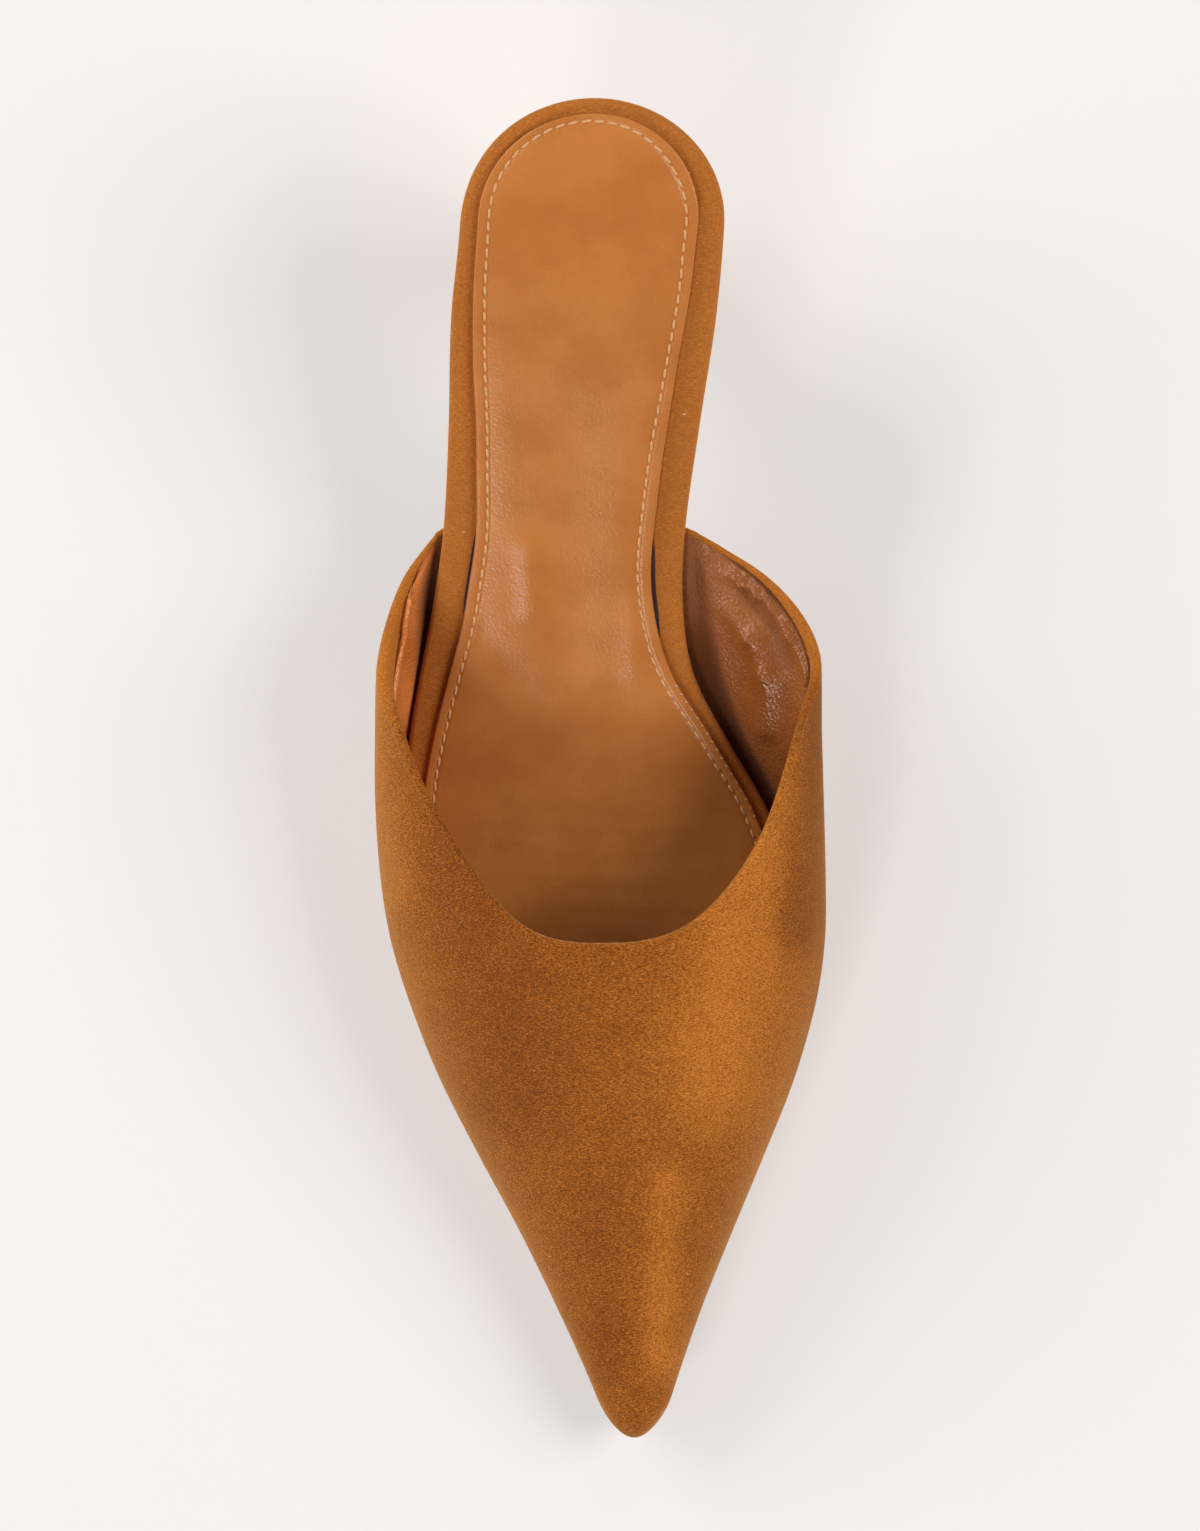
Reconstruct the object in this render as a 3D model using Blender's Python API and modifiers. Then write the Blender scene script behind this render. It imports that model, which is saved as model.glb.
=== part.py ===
"""Pointed kitten heel mule for the right foot, as the pieces that its maker joins.

Sizes are in millimetres and are scaled to metres when a point is placed.  A station is
the distance forward from the back of the heel, and x grows from the outer side of the
foot (negative) to its inner side (positive).  The toe points to -Y and +Z is up.
"""
import bisect
import math

import bmesh
import bpy
from mathutils import Matrix, Vector

MILLIMETRE = 0.001
GAP = 0.3                   # room that two pieces keep where they meet

# Driving sizes of the shoe
LENGTH = 255.0              # in plan, from the back of the seat to the toe tip
SEAT_HEIGHT = 60.0          # top of the insole board at the back of the seat
SEAT_RISE = 20.0            # how steeply the seat still climbs at its back
SHANK_START = 158.0         # station where the footbed leaves the flat forepart
SPRING_START = 195.0        # station where the toe spring begins
TOE_SPRING = 5.0            # lift of the toe tip
SEAT_ROUND = 23.5           # length of the round back of the seat
NOSE_LENGTH = 8.0           # length of the round end of the toe
BREAST = 47.0               # station of the heel's front face, at the seat

# Thicknesses, from the ground up
OUTSOLE_THICKNESS = 2.0
WALL = 1.6                  # suede and lining of the upper
BOARD_THICKNESS = 2.6
SOCK_THICKNESS = 1.2
TOP_PIECE_THICKNESS = 5.0
BALL_HEIGHT = OUTSOLE_THICKNESS + GAP + WALL + GAP + BOARD_THICKNESS

# Edges and margins
MARGIN_WIDTH = 4.0          # upper turned in under the insole
BOARD_INSET = 1.0           # insole board inside the upper's feather edge
OUTSOLE_INSET = 0.4         # outsole inside the upper's feather edge
WAIST_INSET = 1.6           # outsole inside the insole board, behind the upper
BOARD_REACH = 5.0           # how far the board's round toe runs past the nose's start
SOCK_REACH = 2.5
SOCK_BACK = 2.5             # bare rim behind the sock
MARGIN_ENDS = (66.0, 79.0)  # stations where the outsole drops to let the margin in
LOWER_FULLNESS = 1.5        # 2 is a round lower side, 1 is a straight flare
LOWER_CROWDING = 1.4        # over 1, lines crowd together towards the feather edge
HEEL_INSET = 0.8            # heel inside the insole board, at the seat


def table(names, *rows):
    """Sizes as one list for each named column, from a row for each section."""
    return {name: list(column) for name, column in zip(names.split(), zip(*rows))}


# Insole board: its outer and inner edges, and the rim that the sock leaves bare
FOOTBED = table(
    "station  outer  inner   rim",
    (0.0,    -24.9,  25.2,   4.0),
    (22.0,   -25.1,  24.5,   4.2),
    (40.0,   -27.2,  22.8,   4.4),
    (60.0,   -28.2,  19.5,   5.0),
    (80.0,   -29.8,  16.5,   5.6),
    (94.0,   -32.2,  16.0,   5.5),
    (107.0,  -35.0,  18.0,   4.8),
    (120.0,  -37.4,  24.7,   3.9),
    (134.0,  -38.6,  32.6,   3.5),
    (150.0,  -38.3,  37.8,   3.0),
    (164.0,  -35.4,  37.8,   3.0),
    (185.0,  -28.0,  33.4,   3.0),
    (210.0,  -15.3,  24.0,   3.0),
    (235.0,  -3.1,   14.4,   2.6),
    (247.0,   1.5,   10.9,   2.2),
    (255.0,   3.7,   8.8,    2.0),
)

# Last, from the waist forward: its widest edges and their height above the insole board,
# and the line of its instep.  At the toe the rows go on as if it were cut square.
LAST = table(
    "station  outer  inner  wide_height  spine  spine_height",
    (80.0,   -40.6,  41.2,  11.0,         0.0,  31.0),
    (95.0,   -41.5,  42.4,  13.0,         0.2,  32.0),
    (110.0,  -42.6,  42.7,  14.4,         0.5,  33.4),
    (128.0,  -43.3,  43.0,  12.8,         0.8,  36.4),
    (145.0,  -42.7,  43.4,  10.6,         1.4,  38.4),
    (158.0,  -40.8,  43.3,  9.2,          1.9,  37.5),
    (170.0,  -37.3,  41.6,  8.0,          2.4,  34.7),
    (185.0,  -31.5,  37.4,  6.5,          3.2,  30.0),
    (200.0,  -24.0,  31.5,  5.0,          4.0,  24.8),
    (215.0,  -16.0,  25.3,  3.4,          4.8,  19.0),
    (230.0,  -8.7,   19.3,  1.8,          5.5,  13.0),
    (247.0,  -1.1,   13.5,  0.2,          6.2,  6.3),
    (255.0,   1.3,   11.2,  -0.4,         6.3,  3.6),
)

# Collar line: the station where it crosses each line that runs along the last.  Line 0 is
# the feather edge, line 1 the widest line and line 2 the instep.  The last row mirrors the
# one before the instep, so that the collar runs level over it.
COLLAR = table(
    "line    outer   inner",
    (0.0,    80.5,   80.5),
    (0.25,   83.9,   83.9),
    (0.5,    88.6,   88.6),
    (0.75,   95.2,   95.2),
    (1.0,    103.6,  103.8),
    (1.25,   114.2,  115.0),
    (1.5,    134.4,  139.2),
    (1.75,   154.4,  154.5),
    (2.0,    158.2,  158.2),
    (2.25,   154.4,  154.5),
)

# Heel, from the seat down: the heights of its back and its breast, where they stand, and
# its width.  The first row lies under the board and takes its heights from there.
HEEL = table(
    "row   back_height  breast_height  back   breast  width",
    (0.0,  57.0,        43.0,          0.0,   47.0,   48.0),
    (1.0,  50.5,        39.5,          2.4,   43.4,   42.5),
    (2.0,  43.5,        35.2,          6.2,   39.8,   33.0),
    (3.0,  36.5,        30.6,          10.2,  37.2,   25.4),
    (4.0,  29.0,        25.6,          13.6,  35.6,   20.2),
    (5.0,  21.0,        19.6,          16.4,  34.6,   16.6),
    (6.0,  13.0,        12.6,          18.2,  33.9,   14.2),
    (7.0,  5.3,         5.3,           19.2,  33.2,   12.8),
)

# How finely the surfaces are divided
SIDE_STEPS = 22
NOSE_STEPS = 12
MARGIN_STEPS = 2
LOWER_STEPS = 6
UPPER_STEPS = 18
SLAB_STEPS = 52
HEEL_STEPS = 36
BREAST_STEPS = 6
HEEL_RINGS = 14
SEAT_RINGS = 2
BACK_CROWDING = 0.8         # under 1, points crowd together at the back of the seat


def smooth(sizes, column, at, key="station"):
    """A column's value on a smooth curve through the table's rows."""
    keys = sizes[key]
    values = sizes[column]
    last = len(keys) - 1
    row = min(max(bisect.bisect_right(keys, at) - 1, 0), last - 1)

    def slope(index):
        before = max(index - 1, 0)
        after = min(index + 1, last)
        return (values[after] - values[before]) / (keys[after] - keys[before])

    span = keys[row + 1] - keys[row]
    t = min(max((at - keys[row]) / span, 0.0), 1.0)
    ends = values[row] * (1 + 2 * t) * (1 - t) ** 2 + values[row + 1] * t * t * (3 - 2 * t)
    bends = slope(row) * t * (1 - t) ** 2 - slope(row + 1) * t * t * (1 - t)
    return ends + span * bends


def mix(first, second, share):
    return first + (second - first) * share


def quarter(distance, reach):
    """Width of a quarter ellipse, 1 at its middle and 0 at its end."""
    return math.sqrt(max(0.0, 1 - (distance / reach) ** 2))


def side_column(side):
    return "inner" if side > 0 else "outer"


def place(x, station, height):
    return Vector((x, LENGTH / 2 - station, height)) * MILLIMETRE


def bed_height(station):
    """Top of the insole board: seat, shank, flat forepart and toe spring."""
    climb = max(0.0, (SHANK_START - station) / SHANK_START)
    shank = (SEAT_HEIGHT - BALL_HEIGHT) * climb ** 2 * (3 - 2 * climb)
    seat = SEAT_RISE * climb ** 2 * (climb - 1)
    forward = max(0.0, (station - SPRING_START) / (LENGTH - SPRING_START))
    return BALL_HEIGHT + shank + seat + TOE_SPRING * forward ** 2


def margin_height(station):
    """Lower face of the upper's turned-in margin."""
    return bed_height(station) - BOARD_THICKNESS - GAP - WALL


def bed_edge(side, station, inset=0.0, back=0.0, reach=BOARD_REACH):
    """Edge of the footbed, drawn in by an inset and rounded off at the seat and the toe."""
    outer = smooth(FOOTBED, "outer", station)
    inner = smooth(FOOTBED, "inner", station)
    middle = (outer + inner) / 2
    width = (inner - outer) / 2 - inset
    if station < SEAT_ROUND:
        width *= quarter(SEAT_ROUND - station, SEAT_ROUND - back)
    nose_start = LENGTH - NOSE_LENGTH
    if station > nose_start:
        width *= quarter(station - nose_start, reach)
    return middle + side * width


def new_object(name, mesh_shape, collection, material):
    """Turn a bmesh into a smooth-shaded object of its own."""
    mesh = bpy.data.meshes.new(name)
    mesh_shape.to_mesh(mesh)
    mesh_shape.free()
    mesh.shade_smooth()
    mesh.set_sharp_from_angle(angle=math.radians(40))
    mesh.materials.append(material)
    piece = bpy.data.objects.new(name, mesh)
    collection.objects.link(piece)
    return piece


def mapped_grid(columns, rows, shape):
    """A flat grid laid over a surface, with the points that meet made one."""
    grid = bmesh.new()
    bmesh.ops.create_grid(grid, x_segments=columns, y_segments=rows, size=1.0)
    for vertex in grid.verts:
        u = (vertex.co.x + 1) / 2
        v = (vertex.co.y + 1) / 2
        vertex.co = shape(u * columns, v * rows)
    bmesh.ops.remove_doubles(grid, verts=grid.verts, dist=0.002 * MILLIMETRE)
    return grid


def close_solid(grid):
    """Fill the open ends of a tube-like grid and turn its faces outwards."""
    open_edges = [edge for edge in grid.edges if edge.is_boundary]
    bmesh.ops.holes_fill(grid, edges=open_edges, sides=0)
    bmesh.ops.recalc_face_normals(grid, faces=grid.faces)


def slab(name, first, last, edge, top, bottom, corner, collection, material):
    """A sheet of even thickness that follows the footbed, with a rolled edge."""
    # Round the section: how far in from the edge and how far up each point lies
    section = (
        (-1, 0.0, 0.5), (-1, 0.3, 0.85), (-1, 1.0, 1.0), (0, 0.0, 1.0),
        (1, 1.0, 1.0), (1, 0.3, 0.85), (1, 0.0, 0.5), (1, 0.3, 0.15),
        (1, 1.0, 0.0), (0, 0.0, 0.0), (-1, 1.0, 0.0), (-1, 0.3, 0.15),
    )

    def shape(step, around):
        # Stations crowd together towards both rounded ends
        share = (1 - math.cos(math.pi * step / SLAB_STEPS)) / 2
        station = mix(first, last, share)
        side, inward, upward = section[round(around) % len(section)]
        middle = (edge(-1, station) + edge(1, station)) / 2
        half = edge(1, station) - middle
        x = middle + side * max(0.0, half - inward * min(corner, half / 2))
        return place(x, station, mix(bottom(station), top(station), upward))

    grid = mapped_grid(SLAB_STEPS, len(section), shape)
    close_solid(grid)
    return new_object(name, grid, collection, material)


def make_insole_board(collection, material):
    return slab(
        "insole_board", 0.0, LENGTH - NOSE_LENGTH + BOARD_REACH, bed_edge,
        bed_height, lambda station: bed_height(station) - BOARD_THICKNESS,
        BOARD_THICKNESS / 2, collection, material)


def make_insole_sock(collection, material):
    def edge(side, station):
        rim = smooth(FOOTBED, "rim", station)
        return bed_edge(side, station, rim, SOCK_BACK, SOCK_REACH)

    def bottom(station):
        return bed_height(station) + GAP

    return slab(
        "insole_sock", SOCK_BACK, LENGTH - NOSE_LENGTH + SOCK_REACH, edge,
        lambda station: bottom(station) + SOCK_THICKNESS, bottom,
        SOCK_THICKNESS / 2, collection, material)


def outsole_share(station):
    """0 under the waist, where the outsole meets the board, and 1 under the upper."""
    share = (station - MARGIN_ENDS[0]) / (MARGIN_ENDS[1] - MARGIN_ENDS[0])
    share = min(max(share, 0.0), 1.0)
    return share * share * (3 - 2 * share)


def make_outsole(collection, material):
    forward_inset = OUTSOLE_INSET - BOARD_INSET
    reach = BOARD_REACH - forward_inset

    def edge(side, station):
        inset = mix(WAIST_INSET, forward_inset, outsole_share(station))
        return bed_edge(side, station, inset, 0.0, reach)

    def top(station):
        room = mix(GAP, WALL + 2 * GAP, outsole_share(station))
        return bed_height(station) - BOARD_THICKNESS - room

    return slab(
        "outsole", BREAST + GAP, LENGTH - NOSE_LENGTH + reach, edge, top,
        lambda station: top(station) - OUTSOLE_THICKNESS,
        OUTSOLE_THICKNESS / 4, collection, material)


def feather_edge(side, station):
    """The upper's feather edge, not yet rounded off at the toe."""
    return smooth(FOOTBED, side_column(side), station) + side * BOARD_INSET


def last_point(line, side, station, narrow=1.0):
    """A point on the last: along it by station, and around it by line.

    Lines run from -1, the inner edge of the turned-in margin, over 0, the feather edge,
    and 1, the widest line, to 2, the instep.  narrow draws it in to the instep's plane.
    """
    spine = smooth(LAST, "spine", station)
    feather = feather_edge(side, station)
    wide = smooth(LAST, side_column(side), station)
    base = margin_height(station)
    wide_height = bed_height(station) + smooth(LAST, "wide_height", station)
    if line <= 0:
        x = feather + side * MARGIN_WIDTH * line
        height = base
    elif line <= 1:
        climb = line ** LOWER_CROWDING
        flare = (1 - (1 - climb) ** LOWER_FULLNESS) ** (1 / LOWER_FULLNESS)
        x = mix(feather, wide, flare)
        height = mix(base, wide_height, climb)
    else:
        turn = (line - 1) * math.pi / 2
        spine_height = bed_height(station) + smooth(LAST, "spine_height", station)
        x = mix(spine, wide, max(0.0, math.cos(turn)))
        height = mix(wide_height, spine_height, math.sin(turn))
    return spine + (x - spine) * narrow, height


def upper_line(index):
    """The line around the last that the grid's row follows."""
    if index <= MARGIN_STEPS:
        return index / MARGIN_STEPS - 1
    index -= MARGIN_STEPS
    if index <= LOWER_STEPS:
        return index / LOWER_STEPS
    return 1 + (index - LOWER_STEPS) / UPPER_STEPS


def make_upper(collection, material):
    """Vamp and wings as one wall: each row of the grid runs from the outer collar along
    the shoe, round the toe and back to the inner collar."""
    nose_start = LENGTH - NOSE_LENGTH
    nose_spine = smooth(LAST, "spine", nose_start)
    nose_width = smooth(LAST, "inner", nose_start) - nose_spine

    def shape(along, around):
        line = upper_line(round(around))
        side = -1 if along < SIDE_STEPS + NOSE_STEPS / 2 else 1
        from_nose = min(along, 2 * SIDE_STEPS + NOSE_STEPS - along) - SIDE_STEPS
        if from_nose > 0:
            reach = NOSE_LENGTH * (last_point(line, 1, nose_start)[0] - nose_spine) / nose_width
            turn = math.pi * from_nose / NOSE_STEPS
            station = nose_start + reach * math.sin(turn)
            x, height = last_point(line, side, station, max(0.0, math.cos(turn)))
        else:
            collar = smooth(COLLAR, side_column(side), max(line, 0.0), "line")
            station = mix(nose_start, collar, -from_nose / SIDE_STEPS)
            x, height = last_point(line, side, station)
        return place(x, station, height)

    columns = 2 * SIDE_STEPS + NOSE_STEPS
    rows = MARGIN_STEPS + LOWER_STEPS + UPPER_STEPS
    grid = mapped_grid(columns, rows, shape)
    upper = new_object("upper", grid, collection, material)
    wall = upper.modifiers.new("wall", "SOLIDIFY")
    wall.thickness = WALL * MILLIMETRE
    wall.offset = -1.0
    wall.use_even_offset = True
    return upper


def seat_outline(step):
    """A point of the seat's outline: from breast corner to breast corner round the back,
    then straight across the breast."""
    back_steps = HEEL_STEPS - BREAST_STEPS
    if step <= back_steps:
        turn = math.pi * step / back_steps
        side = -1 if turn < math.pi / 2 else 1
        station = mix(BREAST, HEEL_INSET, math.sin(turn) ** BACK_CROWDING)
        return bed_edge(side, station, HEEL_INSET, HEEL_INSET), station
    share = (step - back_steps) / BREAST_STEPS
    inner_corner = bed_edge(1, BREAST, HEEL_INSET)
    outer_corner = bed_edge(-1, BREAST, HEEL_INSET)
    return mix(inner_corner, outer_corner, share), BREAST


def heel_point(row, step):
    """A point of the heel's skin: every section is the seat's outline drawn smaller."""
    x, seat_station = seat_outline(round(step) % HEEL_STEPS)
    share = seat_station / BREAST
    station = mix(smooth(HEEL, "back", row, "row"), smooth(HEEL, "breast", row, "row"), share)
    back_height = smooth(HEEL, "back_height", row, "row")
    height = mix(back_height, smooth(HEEL, "breast_height", row, "row"), share)
    return x * smooth(HEEL, "width", row, "row") / HEEL["width"][0], station, height


def make_heel(collection, material):
    """Sections from the seat down to the tip, under a top face that follows the board."""
    last_row = HEEL["row"][-1]

    def shape(step, ring):
        ring -= SEAT_RINGS
        if ring > 0:
            return place(*heel_point(last_row * ring / HEEL_RINGS, step))
        x, station, _ = heel_point(0.0, step)
        shrink = 1 + ring / SEAT_RINGS
        station = mix(BREAST / 2, station, shrink)
        return place(x * shrink, station, bed_height(station) - BOARD_THICKNESS - GAP)

    grid = mapped_grid(HEEL_STEPS, HEEL_RINGS + SEAT_RINGS, shape)
    close_solid(grid)
    return new_object("heel", grid, collection, material)


def make_top_piece(collection, material):
    """Flat piece under the heel, with the outline of the heel's tip."""
    last_row = HEEL["row"][-1]

    def shape(step, ring):
        x, station, _ = heel_point(last_row, step)
        return place(x, station, TOP_PIECE_THICKNESS * ring)

    grid = mapped_grid(HEEL_STEPS, 1, shape)
    close_solid(grid)
    return new_object("heel_top_piece", grid, collection, material)


def make_material(name, color, roughness):
    material = bpy.data.materials.new(name)
    material.use_nodes = True
    shader = material.node_tree.nodes["Principled BSDF"]
    shader.inputs["Base Color"].default_value = (*color, 1.0)
    shader.inputs["Roughness"].default_value = roughness
    shader.inputs["Metallic"].default_value = 0.0
    return material


def clear_scene():
    for item in list(bpy.data.objects):
        bpy.data.objects.remove(item, do_unlink=True)


def centre(pieces):
    """Move the shoe so that the origin is at the bottom centre of its box."""
    points = [vertex.co for piece in pieces for vertex in piece.data.vertices]
    low = [min(point[axis] for point in points) for axis in range(3)]
    high = [max(point[axis] for point in points) for axis in range(3)]
    shift = Vector((-(low[0] + high[0]) / 2, -(low[1] + high[1]) / 2, -low[2]))
    for piece in pieces:
        piece.data.transform(Matrix.Translation(shift))


def main():
    clear_scene()
    collection = bpy.data.collections.new("kitten_heel_mule")
    bpy.context.scene.collection.children.link(collection)
    suede = make_material("suede", (0.445, 0.158, 0.026), 0.95)
    leatherette = make_material("leatherette", (0.515, 0.175, 0.034), 0.45)
    sole_rubber = make_material("sole_rubber", (0.012, 0.011, 0.011), 0.35)
    pieces = [
        make_outsole(collection, sole_rubber),
        make_upper(collection, suede),
        make_insole_board(collection, suede),
        make_insole_sock(collection, leatherette),
        make_heel(collection, suede),
        make_top_piece(collection, sole_rubber),
    ]
    centre(pieces)


main()
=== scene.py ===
import bisect
import math

import bmesh
import bpy
from mathutils import Matrix, Vector


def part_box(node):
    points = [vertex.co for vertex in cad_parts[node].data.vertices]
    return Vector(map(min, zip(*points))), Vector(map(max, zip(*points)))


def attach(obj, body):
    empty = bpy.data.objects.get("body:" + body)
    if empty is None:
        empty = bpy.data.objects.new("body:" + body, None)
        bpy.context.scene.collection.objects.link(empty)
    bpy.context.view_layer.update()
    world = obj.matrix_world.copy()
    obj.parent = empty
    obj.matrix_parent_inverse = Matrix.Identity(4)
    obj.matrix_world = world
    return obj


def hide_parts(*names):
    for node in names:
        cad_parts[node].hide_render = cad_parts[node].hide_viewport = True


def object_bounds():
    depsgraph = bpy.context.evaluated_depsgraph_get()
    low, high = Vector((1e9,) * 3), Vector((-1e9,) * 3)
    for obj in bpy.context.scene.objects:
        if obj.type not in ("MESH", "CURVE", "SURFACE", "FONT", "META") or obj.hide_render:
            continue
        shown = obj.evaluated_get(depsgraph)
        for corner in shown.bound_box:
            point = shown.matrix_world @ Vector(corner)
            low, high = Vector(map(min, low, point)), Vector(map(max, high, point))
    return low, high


# Pointed kitten heel mule, right foot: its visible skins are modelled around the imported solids.
# Stations count forward from the back of the seat, x grows to the inner side of the foot, and
# lines run round the last: -1 inner edge of the turned-in margin, 0 feather edge, 1 widest line,
# 2 instep. All shoe sizes are in millimetres; spot() turns them into places in the frame.

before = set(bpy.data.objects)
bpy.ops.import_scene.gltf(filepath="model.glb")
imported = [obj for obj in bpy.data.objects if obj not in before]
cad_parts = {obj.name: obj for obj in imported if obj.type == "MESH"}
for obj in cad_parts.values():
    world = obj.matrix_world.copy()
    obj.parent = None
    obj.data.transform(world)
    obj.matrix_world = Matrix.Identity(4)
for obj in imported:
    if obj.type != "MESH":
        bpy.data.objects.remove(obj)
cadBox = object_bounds()
scene = bpy.context.scene
mm = 0.001


def rowsOf(names, *rows):
    return {name: list(values) for name, values in zip(names.split(), zip(*rows))}


shoe = {
    "length": (cadBox[1].y - cadBox[0].y) / mm,
    "seatHeight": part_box("insole_board")[1].z / mm,
    "ballHeight": 6.8,        # top of the insole under the ball
    "seatRise": 20.0,         # how steeply the seat still climbs at its back
    "shankStart": 158.0,
    "springStart": 195.0,
    "toeSpring": 5.0,
    "seatRound": 23.5,        # length of the round back of the seat
    "noseLength": 8.0,
    "breast": 47.0,           # front face of the heel, at the seat
    "board": 2.6,
    "outsole": 2.0,
    "wall": 1.6,
    "gap": 0.3,               # room that two pieces keep where they meet
    "margin": 4.0,            # upper turned in under the insole
    "boardReach": 5.0,
    "boardInset": 1.0,
}
noseStart = shoe["length"] - shoe["noseLength"]

footbed = rowsOf(
    "station  outer  inner   outerRim  innerRim",
    (0.0,    -24.9,  25.2,   3.2,      4.2),
    (22.0,   -25.1,  24.5,   3.3,      4.9),
    (40.0,   -27.2,  22.8,   4.3,      5.6),
    (60.0,   -28.2,  19.5,   5.2,      6.0),
    (80.0,   -29.8,  16.5,   6.4,      6.0),
    (94.0,   -32.2,  16.0,   6.5,      5.6),
    (107.0,  -35.0,  18.0,   5.7,      4.1),
    (120.0,  -37.4,  24.7,   4.6,      2.9),
    (134.0,  -38.6,  32.6,   3.8,      2.8),
    (150.0,  -38.3,  37.8,   3.0,      3.0),
    (164.0,  -35.4,  37.8,   3.0,      3.0),
    (185.0,  -28.0,  33.4,   3.0,      3.0),
    (210.0,  -15.3,  24.0,   3.0,      3.0),
    (235.0,  -3.1,   14.4,   2.6,      2.6),
    (247.0,   1.5,   10.9,   2.2,      2.2),
    (255.0,   3.7,   8.8,    2.0,      2.0),
)

last = rowsOf(
    "station  outer  inner  wideHeight  spine  spineHeight",
    (80.0,   -40.6,  41.2,  11.0,        0.0,  31.0),
    (95.0,   -41.5,  42.4,  13.0,        0.2,  32.0),
    (110.0,  -42.6,  42.7,  14.4,        0.5,  33.4),
    (128.0,  -43.3,  43.0,  12.8,        0.8,  36.4),
    (145.0,  -42.7,  43.4,  10.6,        1.4,  38.4),
    (158.0,  -40.8,  43.3,  9.2,         1.9,  37.5),
    (170.0,  -37.3,  41.6,  8.0,         2.4,  34.7),
    (185.0,  -31.5,  37.4,  6.5,         3.2,  30.0),
    (200.0,  -24.0,  31.5,  5.0,         4.0,  24.8),
    (215.0,  -16.0,  25.3,  3.4,         4.8,  19.0),
    (230.0,  -8.7,   19.3,  1.8,         5.5,  13.0),
    (247.0,  -1.1,   13.5,  0.2,         6.2,  6.3),
    (255.0,   1.3,   11.2,  -0.4,        6.3,  3.6),
)

collar = rowsOf(
    "line    outer   inner",
    (-0.25,  78.7,   78.7),
    (0.0,    79.5,   79.5),
    (0.25,   83.7,   83.7),
    (0.5,    88.5,   88.5),
    (0.75,   95.2,   95.2),
    (1.0,    103.6,  103.8),
    (1.25,   114.2,  115.0),
    (1.5,    134.4,  139.2),
    (1.75,   154.4,  154.5),
    (2.0,    158.2,  158.2),
    (2.25,   154.4,  154.5),
)


def smooth(sizes, name, at, key="station"):
    keys = sizes[key]
    values = sizes[name]
    end = len(keys) - 1
    row = min(max(bisect.bisect_right(keys, at) - 1, 0), end - 1)

    def slope(index):
        before = max(index - 1, 0)
        after = min(index + 1, end)
        return (values[after] - values[before]) / (keys[after] - keys[before])

    span = keys[row + 1] - keys[row]
    t = min(max((at - keys[row]) / span, 0.0), 1.0)
    ends = values[row] * (1 + 2 * t) * (1 - t) ** 2 + values[row + 1] * t * t * (3 - 2 * t)
    return ends + span * (slope(row) * t * (1 - t) ** 2 - slope(row + 1) * t * t * (1 - t))


def mix(first, second, share):
    return first + (second - first) * share


def ease(low, high, at):
    t = min(max((at - low) / (high - low), 0.0), 1.0)
    return t * t * (3 - 2 * t)


def bell(distance, width):
    return math.exp(-(distance / width) ** 2)


def quarter(distance, reach):
    return math.sqrt(max(0.0, 1 - (distance / reach) ** 2))


def sideName(side):
    return "inner" if side > 0 else "outer"


def spot(x, station, height):
    return Vector((x * mm, cadBox[1].y - station * mm, height * mm))


def bedHeight(station):
    climb = max(0.0, (shoe["shankStart"] - station) / shoe["shankStart"])
    shank = (shoe["seatHeight"] - shoe["ballHeight"]) * climb ** 2 * (3 - 2 * climb)
    seat = shoe["seatRise"] * climb ** 2 * (climb - 1)
    forward = max(0.0, (station - shoe["springStart"]) / (shoe["length"] - shoe["springStart"]))
    return shoe["ballHeight"] + shank + seat + shoe["toeSpring"] * forward ** 2


def marginHeight(station):
    return bedHeight(station) - shoe["board"] - shoe["gap"] - shoe["wall"]


def bedEdge(side, station, inset=0.0, back=0.0, reach=shoe["boardReach"]):
    outer = smooth(footbed, "outer", station)
    inner = smooth(footbed, "inner", station)
    width = (inner - outer) / 2 - inset
    if station < shoe["seatRound"]:
        width *= quarter(shoe["seatRound"] - station, shoe["seatRound"] - back)
    if station > noseStart:
        width *= quarter(station - noseStart, reach)
    return (outer + inner) / 2 + side * width


def mappedGrid(columns, rows, shape, **marks):
    # A grid bent to a shape, with a value on each vertex for every mark its material reads
    grid = bmesh.new()
    layers = [(grid.verts.layers.float.new(name), mark) for name, mark in marks.items()]
    bmesh.ops.create_grid(grid, x_segments=columns, y_segments=rows, size=1.0)
    for vertex in grid.verts:
        column = (vertex.co.x + 1) / 2 * columns
        row = (vertex.co.y + 1) / 2 * rows
        vertex.co = shape(column, row)
        for layer, mark in layers:
            vertex[layer] = mark(column, row, vertex.co)
    bmesh.ops.remove_doubles(grid, verts=grid.verts, dist=0.002 * mm)
    return grid


def faceLike(grid, direction, at):
    # Turns the sheet so that its face nearest a spot looks in a direction
    grid.normal_update()
    nearest = min(grid.faces, key=lambda face: (face.calc_center_median() - at).length)
    if nearest.normal.dot(direction) < 0:
        bmesh.ops.reverse_faces(grid, faces=grid.faces)


def closeUp(grid):
    openEdges = [edge for edge in grid.edges if edge.is_boundary]
    if openEdges:
        bmesh.ops.holes_fill(grid, edges=openEdges, sides=0)
    bmesh.ops.recalc_face_normals(grid, faces=grid.faces)


def makePiece(name, grid, material, replaced=None, sharp=50.0):
    mesh = bpy.data.meshes.new(name)
    grid.to_mesh(mesh)
    grid.free()
    mesh.shade_smooth()
    mesh.set_sharp_from_angle(angle=math.radians(sharp))
    mesh.materials.append(material)
    piece = bpy.data.objects.new(name, mesh)
    scene.collection.objects.link(piece)
    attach(piece, "root")
    if replaced:
        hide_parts(replaced)
    return piece


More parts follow.
